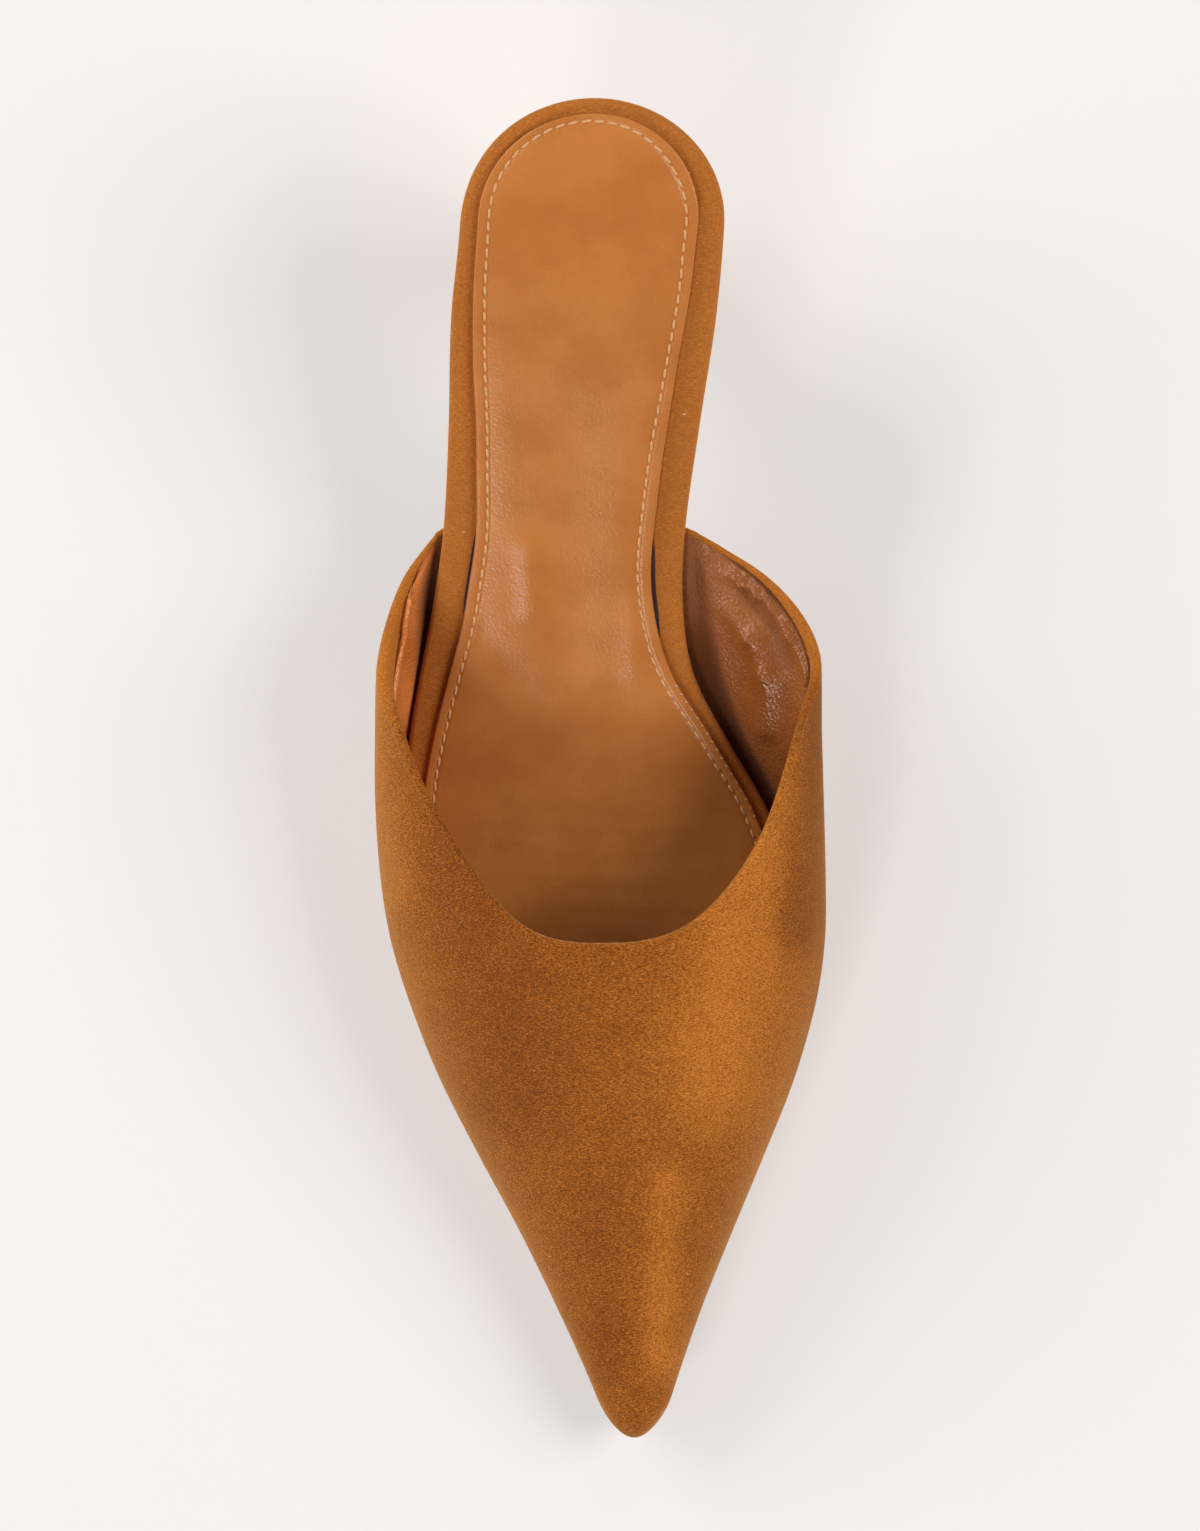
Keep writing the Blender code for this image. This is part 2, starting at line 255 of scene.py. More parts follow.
def thicken(piece, thickness):
    wall = piece.modifiers.new("wall", "SOLIDIFY")
    wall.thickness = thickness * mm
    wall.offset = -1.0
    wall.use_even_offset = False
    return piece


def newMaterial(name):
    material = bpy.data.materials.new(name)
    material.use_nodes = True
    return material, material.node_tree, material.node_tree.nodes["Principled BSDF"]


def node(tree, kind, at, **settings):
    made = tree.nodes.new(kind)
    made.location = at
    for key, value in settings.items():
        if key in made.inputs.keys():
            made.inputs[key].default_value = value
        else:
            setattr(made, key, value)
    return made


def noiseOf(tree, at, vector, size, detail, roughness=0.5, distortion=0.0):
    made = node(tree, "ShaderNodeTexNoise", at, Scale=1 / size, Detail=detail,
                Roughness=roughness, Distortion=distortion)
    tree.links.new(vector, made.inputs["Vector"])
    return made.outputs["Fac"]


def millimetres(tree, at, turn=(0.0, 0.0, 0.0), stretch=(1.0, 1.0, 1.0)):
    # Object coordinates in millimetres, turned and stretched for a pattern with a direction
    place = node(tree, "ShaderNodeTexCoord", (at[0] - 200, at[1]))
    mapping = node(tree, "ShaderNodeMapping", at, vector_type="POINT")
    mapping.inputs["Rotation"].default_value = [math.radians(angle) for angle in turn]
    mapping.inputs["Scale"].default_value = [size / mm for size in stretch]
    tree.links.new(place.outputs["Object"], mapping.inputs["Vector"])
    return mapping.outputs["Vector"]


def ramp(tree, at, factor, *stops):
    made = node(tree, "ShaderNodeValToRGB", at)
    colors = made.color_ramp.elements
    while len(colors) < len(stops):
        colors.new(0.5)
    for element, (position, color) in zip(colors, stops):
        element.position = position
        element.color = (*color, 1.0)
    tree.links.new(factor, made.inputs["Fac"])
    return made.outputs["Color"]


def grey(value):
    return (value, value, value)


def blendColors(tree, at, kind, share, first, second):
    made = node(tree, "ShaderNodeMix", at, data_type="RGBA", blend_type=kind)
    for socket, value in ((made.inputs[0], share), (made.inputs[6], first), (made.inputs[7], second)):
        if isinstance(value, bpy.types.NodeSocket):
            tree.links.new(value, socket)
        elif isinstance(value, tuple):
            socket.default_value = (*value, 1.0)
        else:
            socket.default_value = value
    return made.outputs[2]


def maths(tree, at, operation, first, second):
    made = node(tree, "ShaderNodeMath", at, operation=operation)
    for socket, value in zip(made.inputs, (first, second)):
        if isinstance(value, bpy.types.NodeSocket):
            tree.links.new(value, socket)
        else:
            socket.default_value = value
    return made.outputs[0]


def weigh(tree, at, first, second, share):
    # Two patterns added, the second one by its share and the first by what is left
    x, y = at
    return maths(tree, at, "ADD", maths(tree, (x - 100, y + 60), "MULTIPLY", first, 1 - share),
                 maths(tree, (x - 100, y - 100), "MULTIPLY", second, share))


def attributeOf(tree, at, name):
    return node(tree, "ShaderNodeAttribute", at, attribute_name=name).outputs["Fac"]


def bump(tree, at, height, distance, strength, normal=None):
    made = node(tree, "ShaderNodeBump", at, Strength=strength, Distance=distance * mm)
    tree.links.new(height, made.inputs["Height"])
    if normal:
        tree.links.new(normal, made.inputs["Normal"])
    return made.outputs["Normal"]


suedeLook = {
    "deep": (0.205, 0.053, 0.006),
    "middle": (0.385, 0.115, 0.0135),
    "pale": (0.640, 0.225, 0.035),
    "bright": (0.90, 0.345, 0.065),
    "spread": 0.09,           # a smaller spread sets deep and pale tufts harder against each other
    "lint": (0.70, 0.42, 0.20),
    "lintSize": 0.7,
    "lintFrom": (0.865, 0.895),     # the higher, the fewer pale fibres
    "patchSize": 20.0,        # brushed patches
    "cloudSize": 5.0,         # mottling inside them
    "cloudShare": 0.45,
    "napSize": 0.23,          # tufts of nap
    "streakShare": 0.45,      # share of combed tufts against round ones
    "streakTurn": 38.0,       # direction in which the nap was brushed
    "streakStretch": (0.36, 1.0, 0.7),
    "mottle": 0.11,           # share of patches and clouds against tufts
    "wornAndLitPaler": 0.07,        # rubbed edges are smoother, and paler: partly real wear, partly a painted highlight where the roll catches the light
    "wornCalm": 0.55,
    "napDepth": 0.28,
    "waveDepth": 0.2,
    "roughness": 0.95,
    "specular": 0.15,
    "sheen": 0.85,
    "sheenRoughness": 0.40,
    "sheenTint": (1.0, 0.57, 0.22),
}
# Tint over the whole colour, strength of the tufts, and how much the painted light and shade patches add
vampTone = {"shade": (0.752, 0.695, 0.565), "contrast": 1.0, "paintedLightShare": 0.068}
wrapTone = {"shade": (1.09, 1.165, 1.60), "contrast": 0.31, "paintedLightShare": 0.0}


def makeSuede(name, look, tone):
    material, tree, shader = newMaterial(name)
    flat = millimetres(tree, (-1500, 200))
    combed = millimetres(tree, (-1500, -300), (0, 0, look["streakTurn"]), look["streakStretch"])
    patches = noiseOf(tree, (-1200, 500), flat, look["patchSize"], 2.0, 0.5, 0.6)
    clouds = noiseOf(tree, (-1200, 300), flat, look["cloudSize"], 2.0, 0.5, 0.3)
    nap = noiseOf(tree, (-1200, 100), flat, look["napSize"], 2.0, 0.7)
    streaks = noiseOf(tree, (-1200, -300), combed, look["napSize"], 1.0, 0.6, 0.3)
    tufts = weigh(tree, (-950, 0), nap, streaks, look["streakShare"])
    broad = weigh(tree, (-950, 400), patches, clouds, look["cloudShare"])
    level = weigh(tree, (-800, 200), tufts, broad, look["mottle"])
    # Both marks stand on the vertices: rubbed and painted lighter along the collar, and painted light and
    # shade on the vamp
    worn = attributeOf(tree, (-1200, 700), "wear")
    brushed = attributeOf(tree, (-1200, 900), "brushed")
    calm = maths(tree, (-950, 700), "SUBTRACT", 1.0,
                 maths(tree, (-1050, 700), "MULTIPLY", worn, look["wornCalm"]))
    level = maths(tree, (-720, 300), "MULTIPLY", maths(tree, (-760, 400), "SUBTRACT", level, 0.5), calm)
    # paler on the collar, plus the painted light and shade patches
    paler = maths(tree, (-720, 600), "ADD", maths(tree, (-800, 700), "MULTIPLY", worn, look["wornAndLitPaler"]),
                  maths(tree, (-800, 560), "MULTIPLY", brushed, tone["paintedLightShare"]))
    level = maths(tree, (-600, 400), "ADD", maths(tree, (-660, 400), "ADD", level, 0.5), paler)
    spread = look["spread"] / tone["contrast"]
    color = ramp(tree, (-500, 200), level, (0.5 - spread, look["deep"]), (0.5, look["middle"]),
                 (0.5 + spread, look["pale"]), (0.5 + 2 * spread, look["bright"]))
    # A few pale fibres caught in the nap
    specks = noiseOf(tree, (-1200, -600), combed, look["lintSize"], 0.0)
    lint = ramp(tree, (-950, -600), specks, *zip(look["lintFrom"], (grey(0.0), grey(1.0))))
    color = blendColors(tree, (-250, 200), "MIX", lint, color, look["lint"])
    color = blendColors(tree, (-100, 300), "MULTIPLY", 1.0, color, tone["shade"])
    tree.links.new(color, shader.inputs["Base Color"])
    fuzz = bump(tree, (-500, -200), tufts, look["napDepth"], 0.9 * tone["contrast"])
    waves = bump(tree, (-300, -200), clouds, look["waveDepth"], 0.4, fuzz)
    tree.links.new(waves, shader.inputs["Normal"])
    shader.inputs["Roughness"].default_value = look["roughness"]
    shader.inputs["Specular IOR Level"].default_value = look["specular"]
    shader.inputs["Sheen Weight"].default_value = look["sheen"]
    shader.inputs["Sheen Roughness"].default_value = look["sheenRoughness"]
    shader.inputs["Sheen Tint"].default_value = (*look["sheenTint"], 1.0)
    return material


leatherLook = {
    "lining": {
        "deep": (0.240, 0.069, 0.0140),
        "pale": (0.310, 0.099, 0.0220),
        "cloudSize": 14.0,
        "grainSize": 0.62,
        "grainDepth": 0.18,
        "poreSize": 0.25,
        "roughness": 0.34,
        "specular": 0.74,
        "specularTint": (1.0, 0.70, 0.58),
        "outerPaintedLight": 2.28,       # painted light: the outer side is painted paler where the light from the right falls on it
        "outerFrom": (10.0, -25.0),     # x over which it turns paler
        # colour of the painted shade beside the footbed, in the groove and in the crease hollows
        "paintedShade": (0.11, 0.028, 0.004),
        "paintedShadeDulls": 1.2,
    },
    "sock": {
        "deep": (0.465, 0.158, 0.036),
        "pale": (0.535, 0.193, 0.046),
        "cloudSize": 14.0,
        "grainSize": 0.55,
        "grainDepth": 0.032,
        "poreSize": 0.25,
        "roughness": 0.26,
        "specular": 0.27,
        "specularTint": (1.0, 1.0, 1.0),
    },
}


def makeLeather(name, look):
    material, tree, shader = newMaterial(name)
    flat = millimetres(tree, (-1300, 200))
    clouds = noiseOf(tree, (-1000, 400), flat, look["cloudSize"], 3.0, 0.55)
    pebbles = node(tree, "ShaderNodeTexVoronoi", (-1000, 100), feature="SMOOTH_F1",
                   Scale=1 / look["grainSize"], Smoothness=0.6)
    tree.links.new(flat, pebbles.inputs["Vector"])
    pores = noiseOf(tree, (-1000, -200), flat, look["poreSize"], 2.0)
    tone = weigh(tree, (-700, 300), clouds, pores, 0.2)
    color = ramp(tree, (-500, 300), tone, (0.38, look["deep"]), (0.62, look["pale"]))
    gloss = ramp(tree, (-500, 0), clouds, (0.3, grey(look["roughness"] - 0.05)),
                 (0.7, grey(look["roughness"] + 0.06)))
    if "paintedShade" in look:       # the lining alone
        across = node(tree, "ShaderNodeSeparateXYZ", (-1000, 700))
        tree.links.new(flat, across.inputs["Vector"])
        outer = node(tree, "ShaderNodeMapRange", (-800, 700), interpolation_type="SMOOTHSTEP")
        outer.inputs["From Min"].default_value, outer.inputs["From Max"].default_value = look["outerFrom"]
        tree.links.new(across.outputs["X"], outer.inputs["Value"])
        # painted light: the lining's outer side is made paler
        color = blendColors(tree, (-380, 400), "MULTIPLY", outer.outputs["Result"], color,
                            grey(look["outerPaintedLight"]))
        # painted shade: the lining is darkened and roughened beside the footbed, in its groove and in its
        # crease hollows
        paintedShade = attributeOf(tree, (-700, 500), "wear")
        color = blendColors(tree, (-250, 300), "MIX", paintedShade, color, look["paintedShade"])
        dull = maths(tree, (-300, 100), "MULTIPLY", paintedShade, look["paintedShadeDulls"])
        gloss = maths(tree, (-200, 0), "ADD", gloss, dull)
    tree.links.new(color, shader.inputs["Base Color"])
    tree.links.new(gloss, shader.inputs["Roughness"])
    grain = bump(tree, (-500, -250), pebbles.outputs["Distance"], look["grainDepth"], 1.0)
    tree.links.new(bump(tree, (-300, -250), pores, 0.02, 0.6, grain), shader.inputs["Normal"])
    shader.inputs["Specular IOR Level"].default_value = look["specular"]
    shader.inputs["Specular Tint"].default_value = (*look["specularTint"], 1.0)
    return material


rubberLook = {
    "sole": {"color": (0.012, 0.011, 0.013), "roughness": 0.24, "grainSize": 0.4, "grainDepth": 0.03},
    "tip": {"color": (0.020, 0.018, 0.018), "roughness": 0.45, "grainSize": 0.3, "grainDepth": 0.05},
    "foam": {"color": (0.030, 0.013, 0.020), "roughness": 0.9, "grainSize": 0.3, "grainDepth": 0.08},
}


def makeRubber(name, look):
    material, tree, shader = newMaterial(name)
    flat = millimetres(tree, (-1000, 0))
    stipple = noiseOf(tree, (-700, -200), flat, look["grainSize"], 2.0)
    scuffs = noiseOf(tree, (-700, 200), flat, 6.0, 4.0, 0.7, 1.0)
    gloss = ramp(tree, (-400, 200), scuffs, (0.4, grey(look["roughness"])),
                 (0.75, grey(look["roughness"] + 0.2)))
    tree.links.new(gloss, shader.inputs["Roughness"])
    tree.links.new(bump(tree, (-300, -200), stipple, look["grainDepth"], 0.8), shader.inputs["Normal"])
    shader.inputs["Base Color"].default_value = (*look["color"], 1.0)
    return material


threadLook = {"deep": (0.55, 0.27, 0.095), "pale": (0.76, 0.42, 0.165), "plySize": 0.2, "sheen": 0.3}


def makeThread(name, look):
    material, tree, shader = newMaterial(name)
    plies = noiseOf(tree, (-700, 0), millimetres(tree, (-1000, 0)), look["plySize"], 2.0)
    color = ramp(tree, (-400, 200), plies, (0.3, look["deep"]), (0.7, look["pale"]))
    tree.links.new(color, shader.inputs["Base Color"])
    shader.inputs["Roughness"].default_value = 0.7
    shader.inputs["Sheen Weight"].default_value = look["sheen"]
    return material


suede = makeSuede("vampNap", suedeLook, vampTone)
wrapSuede = makeSuede("wrapNap", suedeLook, wrapTone)
liningLeather = makeLeather("liningLeatherette", leatherLook["lining"])
sockLeather = makeLeather("sockLeatherette", leatherLook["sock"])
thread = makeThread("stitchThread", threadLook)
soleGloss = makeRubber("soleRubber", rubberLook["sole"])
tipRubber = makeRubber("tipRubber", rubberLook["tip"])
foam = makeRubber("sockFoam", rubberLook["foam"])
print("materials made")


skin = {
    "flareFullness": 1.5,     # 2 is a round lower side, 1 a straight flare
    "flareCrowding": 1.4,
    "featherRound": 0.12,     # lines each side of the feather edge that its rounding takes up
    "step": 0.02,             # for slopes
    "lowest": -0.99,          # no slope is taken past these lines, where the skin ends
    "highestAtNose": 1.94,
}


def rawSection(line, side, station):
    spine = smooth(last, "spine", station)
    feather = smooth(footbed, sideName(side), station) + side * shoe["boardInset"]
    wide = smooth(last, sideName(side), station)
    base = marginHeight(station)
    wideHeight = bedHeight(station) + smooth(last, "wideHeight", station)
    if line <= 0:
        return feather + side * shoe["margin"] * line, base, spine
    if line <= 1:
        climb = line ** skin["flareCrowding"]
        flare = (1 - (1 - climb) ** skin["flareFullness"]) ** (1 / skin["flareFullness"])
        return mix(feather, wide, flare), mix(base, wideHeight, climb), spine
    turn = (line - 1) * math.pi / 2
    spineHeight = bedHeight(station) + smooth(last, "spineHeight", station)
    return mix(spine, wide, math.cos(turn)), mix(wideHeight, spineHeight, math.sin(turn)), spine


def section(line, side, station):
    # The section with its feather edge rounded
    reach = skin["featherRound"]
    if abs(line) >= reach:
        return rawSection(line, side, station)
    t = (line + reach) / (2 * reach)
    below, corner, above = (rawSection(at, side, station) for at in (-reach, 0.0, reach))
    weights = ((1 - t) ** 2, 2 * t * (1 - t), t * t)
    return [sum(weight * part for weight, part in zip(weights, parts))
            for parts in zip(below, corner, above)]


noseSpine = smooth(last, "spine", noseStart)
noseWidth = smooth(last, "inner", noseStart) - noseSpine


def skinSpot(line, side, along):
    # along is 1 at the collar, 0 where the round of the toe begins and -1 at the toe tip
    if line > 2:
        line, side = 4 - line, -side
    if along < -1:
        along, side = -2 - along, -side
    if along < 0:
        turn = -along * math.pi / 2
        reach = shoe["noseLength"] * (section(line, 1, noseStart)[0] - noseSpine) / noseWidth
        station = noseStart + reach * math.sin(turn)
        x, height, spine = section(line, side, station)
        x = spine + (x - spine) * math.cos(turn)
    else:
        station = mix(noseStart, smooth(collar, sideName(side), line, "line"), along)
        x, height, spine = section(line, side, station)
    return spot(x, station, height)


def skinNormal(line, side, along):
    step = skin["step"]
    if along < 0:
        line = min(line, skin["highestAtNose"])
    line = max(line, skin["lowest"])
    across = skinSpot(line + step, side, along) - skinSpot(line - step, side, along)
    back = skinSpot(line, side, along + step) - skinSpot(line, side, along - step)
    return (back.cross(across) * side).normalized()


def edgeAlong(line, side, offset):
    # How far along a line lies the spot that is offset millimetres in from the collar
    step = skin["step"]
    rim = skinSpot(line + step, side, 1.0) - skinSpot(line - step, side, 1.0)
    back = (skinSpot(line, side, 1.0) - skinSpot(line, side, 1.0 - step)) / step
    if line <= 0:
        return 1 - offset * mm / back.length
    lean = back.cross(rim).length / rim.length
    return 1 - offset * mm / lean


vampLook = {
    "outerLean": 1.0,         # how far the turned-in suede thickens down to the lining
    "innerLean": 0.25,
    "leanStarts": (0.3, 0.7),     # lines over which it does so
    "leanEnds": (1.2, 1.6),
    "hidden": 1.2,            # turned-in suede that runs on under the lining
    "dives": 0.4,             # how far its hidden end draws away from the lining
    "suedeThick": 0.5,
    "creasedFrom": 0.5,       # creases lie above this line
    "wornColumns": (-0.5, 1.6),   # the collar is rubbed and painted lighter on the roll, and less towards the instep
    "wornLines": (1.0, 1.35),
    "sideColumns": 84,
    "noseColumns": 22,
    "rollColumns": 9,
    "turnColumns": 5,
    "marginRows": 4,
    "lowerRows": 24,
    "upperRows": 46,
}


def lineAt(row, look=vampLook):
    row -= look["marginRows"]
    if row <= 0:
        return row / look["marginRows"]
    if row <= look["lowerRows"]:
        return row / look["lowerRows"]
    return 1 + (row - look["lowerRows"]) / look["upperRows"]


rimShown = rowsOf(
    "line   outer  inner",    # turned-in suede left bare above the lining
    (0.0,   0.25,  0.25),
    (0.3,   0.40,  0.30),
    (0.5,   0.95,  0.45),
    (0.75,  2.00,  0.70),
    (1.0,   2.60,  0.90),
    (1.25,  2.40,  1.20),
    (2.0,   2.20,  2.20),
)


rimThick = rowsOf(
    "line   outer  inner",    # half the thickness of the rolled collar
    (0.0,   0.55,  0.55),
    (0.3,   0.65,  0.58),
    (0.55,  1.00,  0.78),
    (0.8,   1.25,  0.92),
    (1.0,   1.35,  0.96),
    (1.25,  1.25,  0.96),
    (1.5,   0.98,  0.95),
    (2.0,   0.92,  0.92),
)


def rimHalf(line, side):
    return smooth(rimThick, sideName(side), line, "line")


def rimLean(line, side):
    share = ease(*vampLook["leanStarts"], line) * (1 - ease(*vampLook["leanEnds"], line))
    return share * vampLook[sideName(side) + "Lean"]


def shownAt(line, side):
    return smooth(rimShown, sideName(side), line, "line")


def creasesOf(*rows):
    # Rows give x and station at both ends, then width and height
    return [{"from": row[:2], "to": row[2:4], "width": row[4], "height": row[5]} for row in rows]


# Soft troughs and ridges of the vamp
vampCreases = creasesOf(
    (30.0, 132.0, 38.0, 118.0, 6.0, -0.25),
    (-30.0, 134.0, -38.0, 120.0, 6.0, -0.20),
    (9.5, 186.0, 8.7, 203.0, 4.0, 0.25),
    (8.5, 207.0, 7.5, 244.0, 2.8, 0.60),
)

# Painted light and shade on the vamp, lighter or, below nought, darker: its right side and the toe's right
# side lit, its left side and the toe's left side shaded, a shadow along its right edge and a sheen along
# its left edge
paintedLightPatches = creasesOf(
    (31.0, 130.0, 22.0, 186.0, 11.0, 1.35),
    (13.0, 204.0, 11.0, 240.0, 3.9, 1.15),
    (-1.0, 206.0, 2.5, 240.0, 4.6, -0.35),
    (-27.0, 138.0, -15.0, 186.0, 9.0, -0.60),
    (43.5, 112.0, 37.5, 156.0, 4.6, -1.30),
    (-44.0, 104.0, -38.0, 148.0, 4.5, 0.60),
)

# Slack puckers of the lining under the collar seam, hollows behind them and a long soft ridge
liningCreases = creasesOf(
    (22.4, 86.4, 24.4, 87.4, 1.5, 0.80),
    (26.2, 87.5, 27.2, 90.0, 1.1, 1.00),
    (29.8, 90.2, 30.2, 92.0, 1.1, 1.00),
    (32.4, 92.0, 33.2, 94.4, 1.1, 0.80),
    (35.4, 97.2, 36.2, 100.2, 1.1, 0.60),
    (27.6, 91.4, 29.4, 93.6, 1.6, -0.90),
    (31.0, 95.0, 32.6, 97.6, 1.7, -0.90),
    (33.8, 99.8, 35.4, 105.5, 1.7, -0.60),
    (24.0, 94.4, 28.6, 99.0, 2.1, 1.15),
    (29.8, 100.6, 31.8, 105.6, 2.3, 1.50),
    (32.0, 108.4, 31.6, 117.0, 2.6, 1.55),
    (-37.0, 100.0, -35.0, 112.0, 1.6, 0.30),
)

# The slack lining swells beside the footbed: x of the crest by station, rise in millimetres
liningSwell = {
    1: rowsOf(
        "station  crest  rise",
        (83.0,   20.0,   0.0),
        (90.0,   21.4,   1.2),
        (98.0,   22.4,   2.0),
        (106.0,  23.9,   2.4),
        (113.0,  26.2,   2.4),
        (120.0,  29.0,   2.0),
        (128.0,  33.5,   1.1),
        (136.0,  38.0,   0.0),
    ),
    -1: rowsOf(
        "station  crest  rise",
        (80.5,   -31.5,  0.0),
        (85.0,   -33.2,  2.0),
        (92.0,   -34.9,  3.0),
        (98.0,   -35.5,  3.2),
        (106.0,  -36.1,  2.9),
        (114.0,  -37.1,  2.0),
        (124.0,  -39.0,  0.0),
    ),
}
swellWidths = {1: (1.7, 13.0), -1: (1.1, 4.5)}   # steep towards the footbed, easy beyond


def besideCrest(side, x, station):
    return side * (x - smooth(liningSwell[side], "crest", station))


def swellRise(side, x, station):
    beside = besideCrest(side, x, station)
    return smooth(liningSwell[side], "rise", station) * bell(beside, swellWidths[side][beside > 0])


def creaseHeight(creases, x, station):
    # Each crease fades evenly to both sides of its line, as seen from above
    total = 0.0
    here = Vector((x, station))
    for crease in creases:
        first = Vector(crease["from"])
        run = Vector(crease["to"]) - first
        share = min(max((here - first).dot(run) / run.length_squared, 0.0), 1.0)
        total += crease["height"] * bell((here - first - run * share).length, crease["width"])
    return total


def stationOf(place):
    return (cadBox[1].y - place.y) / mm


def rimSpots(lines, side):
    # Where the outer skin ends at the collar, with its normal and the way to the opening
    alongs = [edgeAlong(line, side, rimHalf(line, side)) for line in lines]
    ends = [skinSpot(line, side, along) for line, along in zip(lines, alongs)]
    rims = []
    for index, line in enumerate(lines):
        before = ends[max(index - 1, 0)]
        after = ends[min(index + 1, len(lines) - 1)]
        run = (after - before).normalized()
        normal = skinNormal(line, side, alongs[index])
        outward = run.cross(normal) * side
        if line >= 2:
            outward = Vector((0, 1, 0))
        outward = (outward - normal * outward.dot(normal)).normalized()
        if outward.y < 0:
            outward.negate()
        rims.append((alongs[index], ends[index], normal, outward))
    return rims


aboveToes = spot(3, 190, 40)


def makeVamp():
    look = vampLook
    rows = look["marginRows"] + look["lowerRows"] + look["upperRows"]
    lines = [lineAt(row) for row in range(rows + 1)]
    rims = {side: rimSpots(lines, side) for side in (-1, 1)}
    edgeColumns = look["turnColumns"] + look["rollColumns"]
    half = edgeColumns + look["sideColumns"] + look["noseColumns"]

    def shape(column, row):
        column, row = round(column), round(row)
        line = lines[row]
        side = -1 if column < half else 1
        column = min(column, 2 * half - column)
        rimAlong, end, normal, outward = rims[side][row]
        radius = rimHalf(line, side) * mm
        if column <= look["turnColumns"]:
            shown = shownAt(line, side)
            inward = mix(shown + look["hidden"], 0.0, column / look["turnColumns"])
            along = edgeAlong(line, side, rimHalf(line, side) + inward)
            lean = rimLean(line, side) * min(inward / shown, 1.0)
            lean -= look["dives"] * max(0.0, inward - shown) / look["hidden"]
            return skinSpot(line, side, along) - skinNormal(line, side, along) * (2 * radius + lean * mm)
        column -= look["turnColumns"]
        if column < look["rollColumns"]:
            turn = math.pi * (1 - column / look["rollColumns"])
            centre = end - normal * radius
            return centre + (normal * math.cos(turn) + outward * math.sin(turn)) * radius
        column -= look["rollColumns"]
        if column <= look["sideColumns"]:
            along = mix(rimAlong, 0.0, column / look["sideColumns"])
        else:
            along = -(column - look["sideColumns"]) / look["noseColumns"]
        place = skinSpot(line, side, along)
        dent = creaseHeight(vampCreases, place.x / mm, stationOf(place))
        if abs(dent) > 0.005 and line > look["creasedFrom"]:
            place += skinNormal(line, side, along) * dent * mm
        return place

    # rubbed collar: partly real wear, partly a painted highlight on its roll
    def wear(column, row, place):
        fromCollar = min(column, 2 * half - column) - edgeColumns
        onRoll = 1 - ease(*look["wornColumns"], fromCollar)
        return onRoll * (1 - ease(*look["wornLines"], lines[round(row)]))

    # painted light and shade on the vamp
    def brushed(column, row, place):
        return creaseHeight(paintedLightPatches, place.x / mm, stationOf(place))

    grid = mappedGrid(2 * half, rows, shape, wear=wear, brushed=brushed)
    faceLike(grid, Vector((0, 0, 1)), aboveToes)
    return thicken(makePiece("vampSuede", grid, suede, "upper"), look["suedeThick"])


liningLook = {
    "thick": 0.5,
    "freeFrom": (0.05, 0.35),     # lines over which it comes out from under the footbed
    "thins": (1.0, 10.0),     # from the collar's full thickness to the wall's, with way from the seam
    "besideBoard": 1.1,       # thickness of the wall where it meets the footbed
    "aboveBoard": 1.84,
    "clearsBoard": (0.3, 0.6),
    "shallowest": 1.05,       # it never comes nearer to the suede's face than this
    "sunk": 0.35,             # its folded edge starts in a fine groove on the turned-in suede
    "foldRound": 0.5,
    "lip": {1: 0.50, -1: 0.22},   # how proud the fold lies
    "lipWidth": 1.7,
    "slack": 0.9,             # how far the inner side stands off the suede, behind the lip
    "slackFrom": (1.2, 3.5),
    "slackEnds": (1.0, 1.2),  # lines over which the slack ends
    "swellStarts": (-0.02, 0.08),
    "swellFrom": {1: (0.5, 5.0), -1: (0.1, 3.2)},   # it fades towards the seam
    "swellEnds": (0.95, 1.2),
    "sideColumns": 150,
    "noseColumns": 12,
    "crowding": 1.6,          # columns crowd together at the seam
    "marginRows": 3,
    "lowerRows": 84,
    "upperRows": 28,
    "lowest": -0.85,          # it runs on under the footbed to this line
    "boardShade": (-1.6, 0.6),    # painted shade beside the footbed, on the near side of the swell
    "boardShadeTop": {1: 0.25, -1: 0.95},    # less so at the top
    "boardShadeFrom": (93.0, 106.0),
    "grooveShade": 0.9,       # painted shade in the groove along the suede
    "grooveWidth": (0.15, 0.55),
    "valleyShade": 0.55,      # and painted shade in the hollows of its creases, down to a depth
    "valleyDepth": 0.8,
}


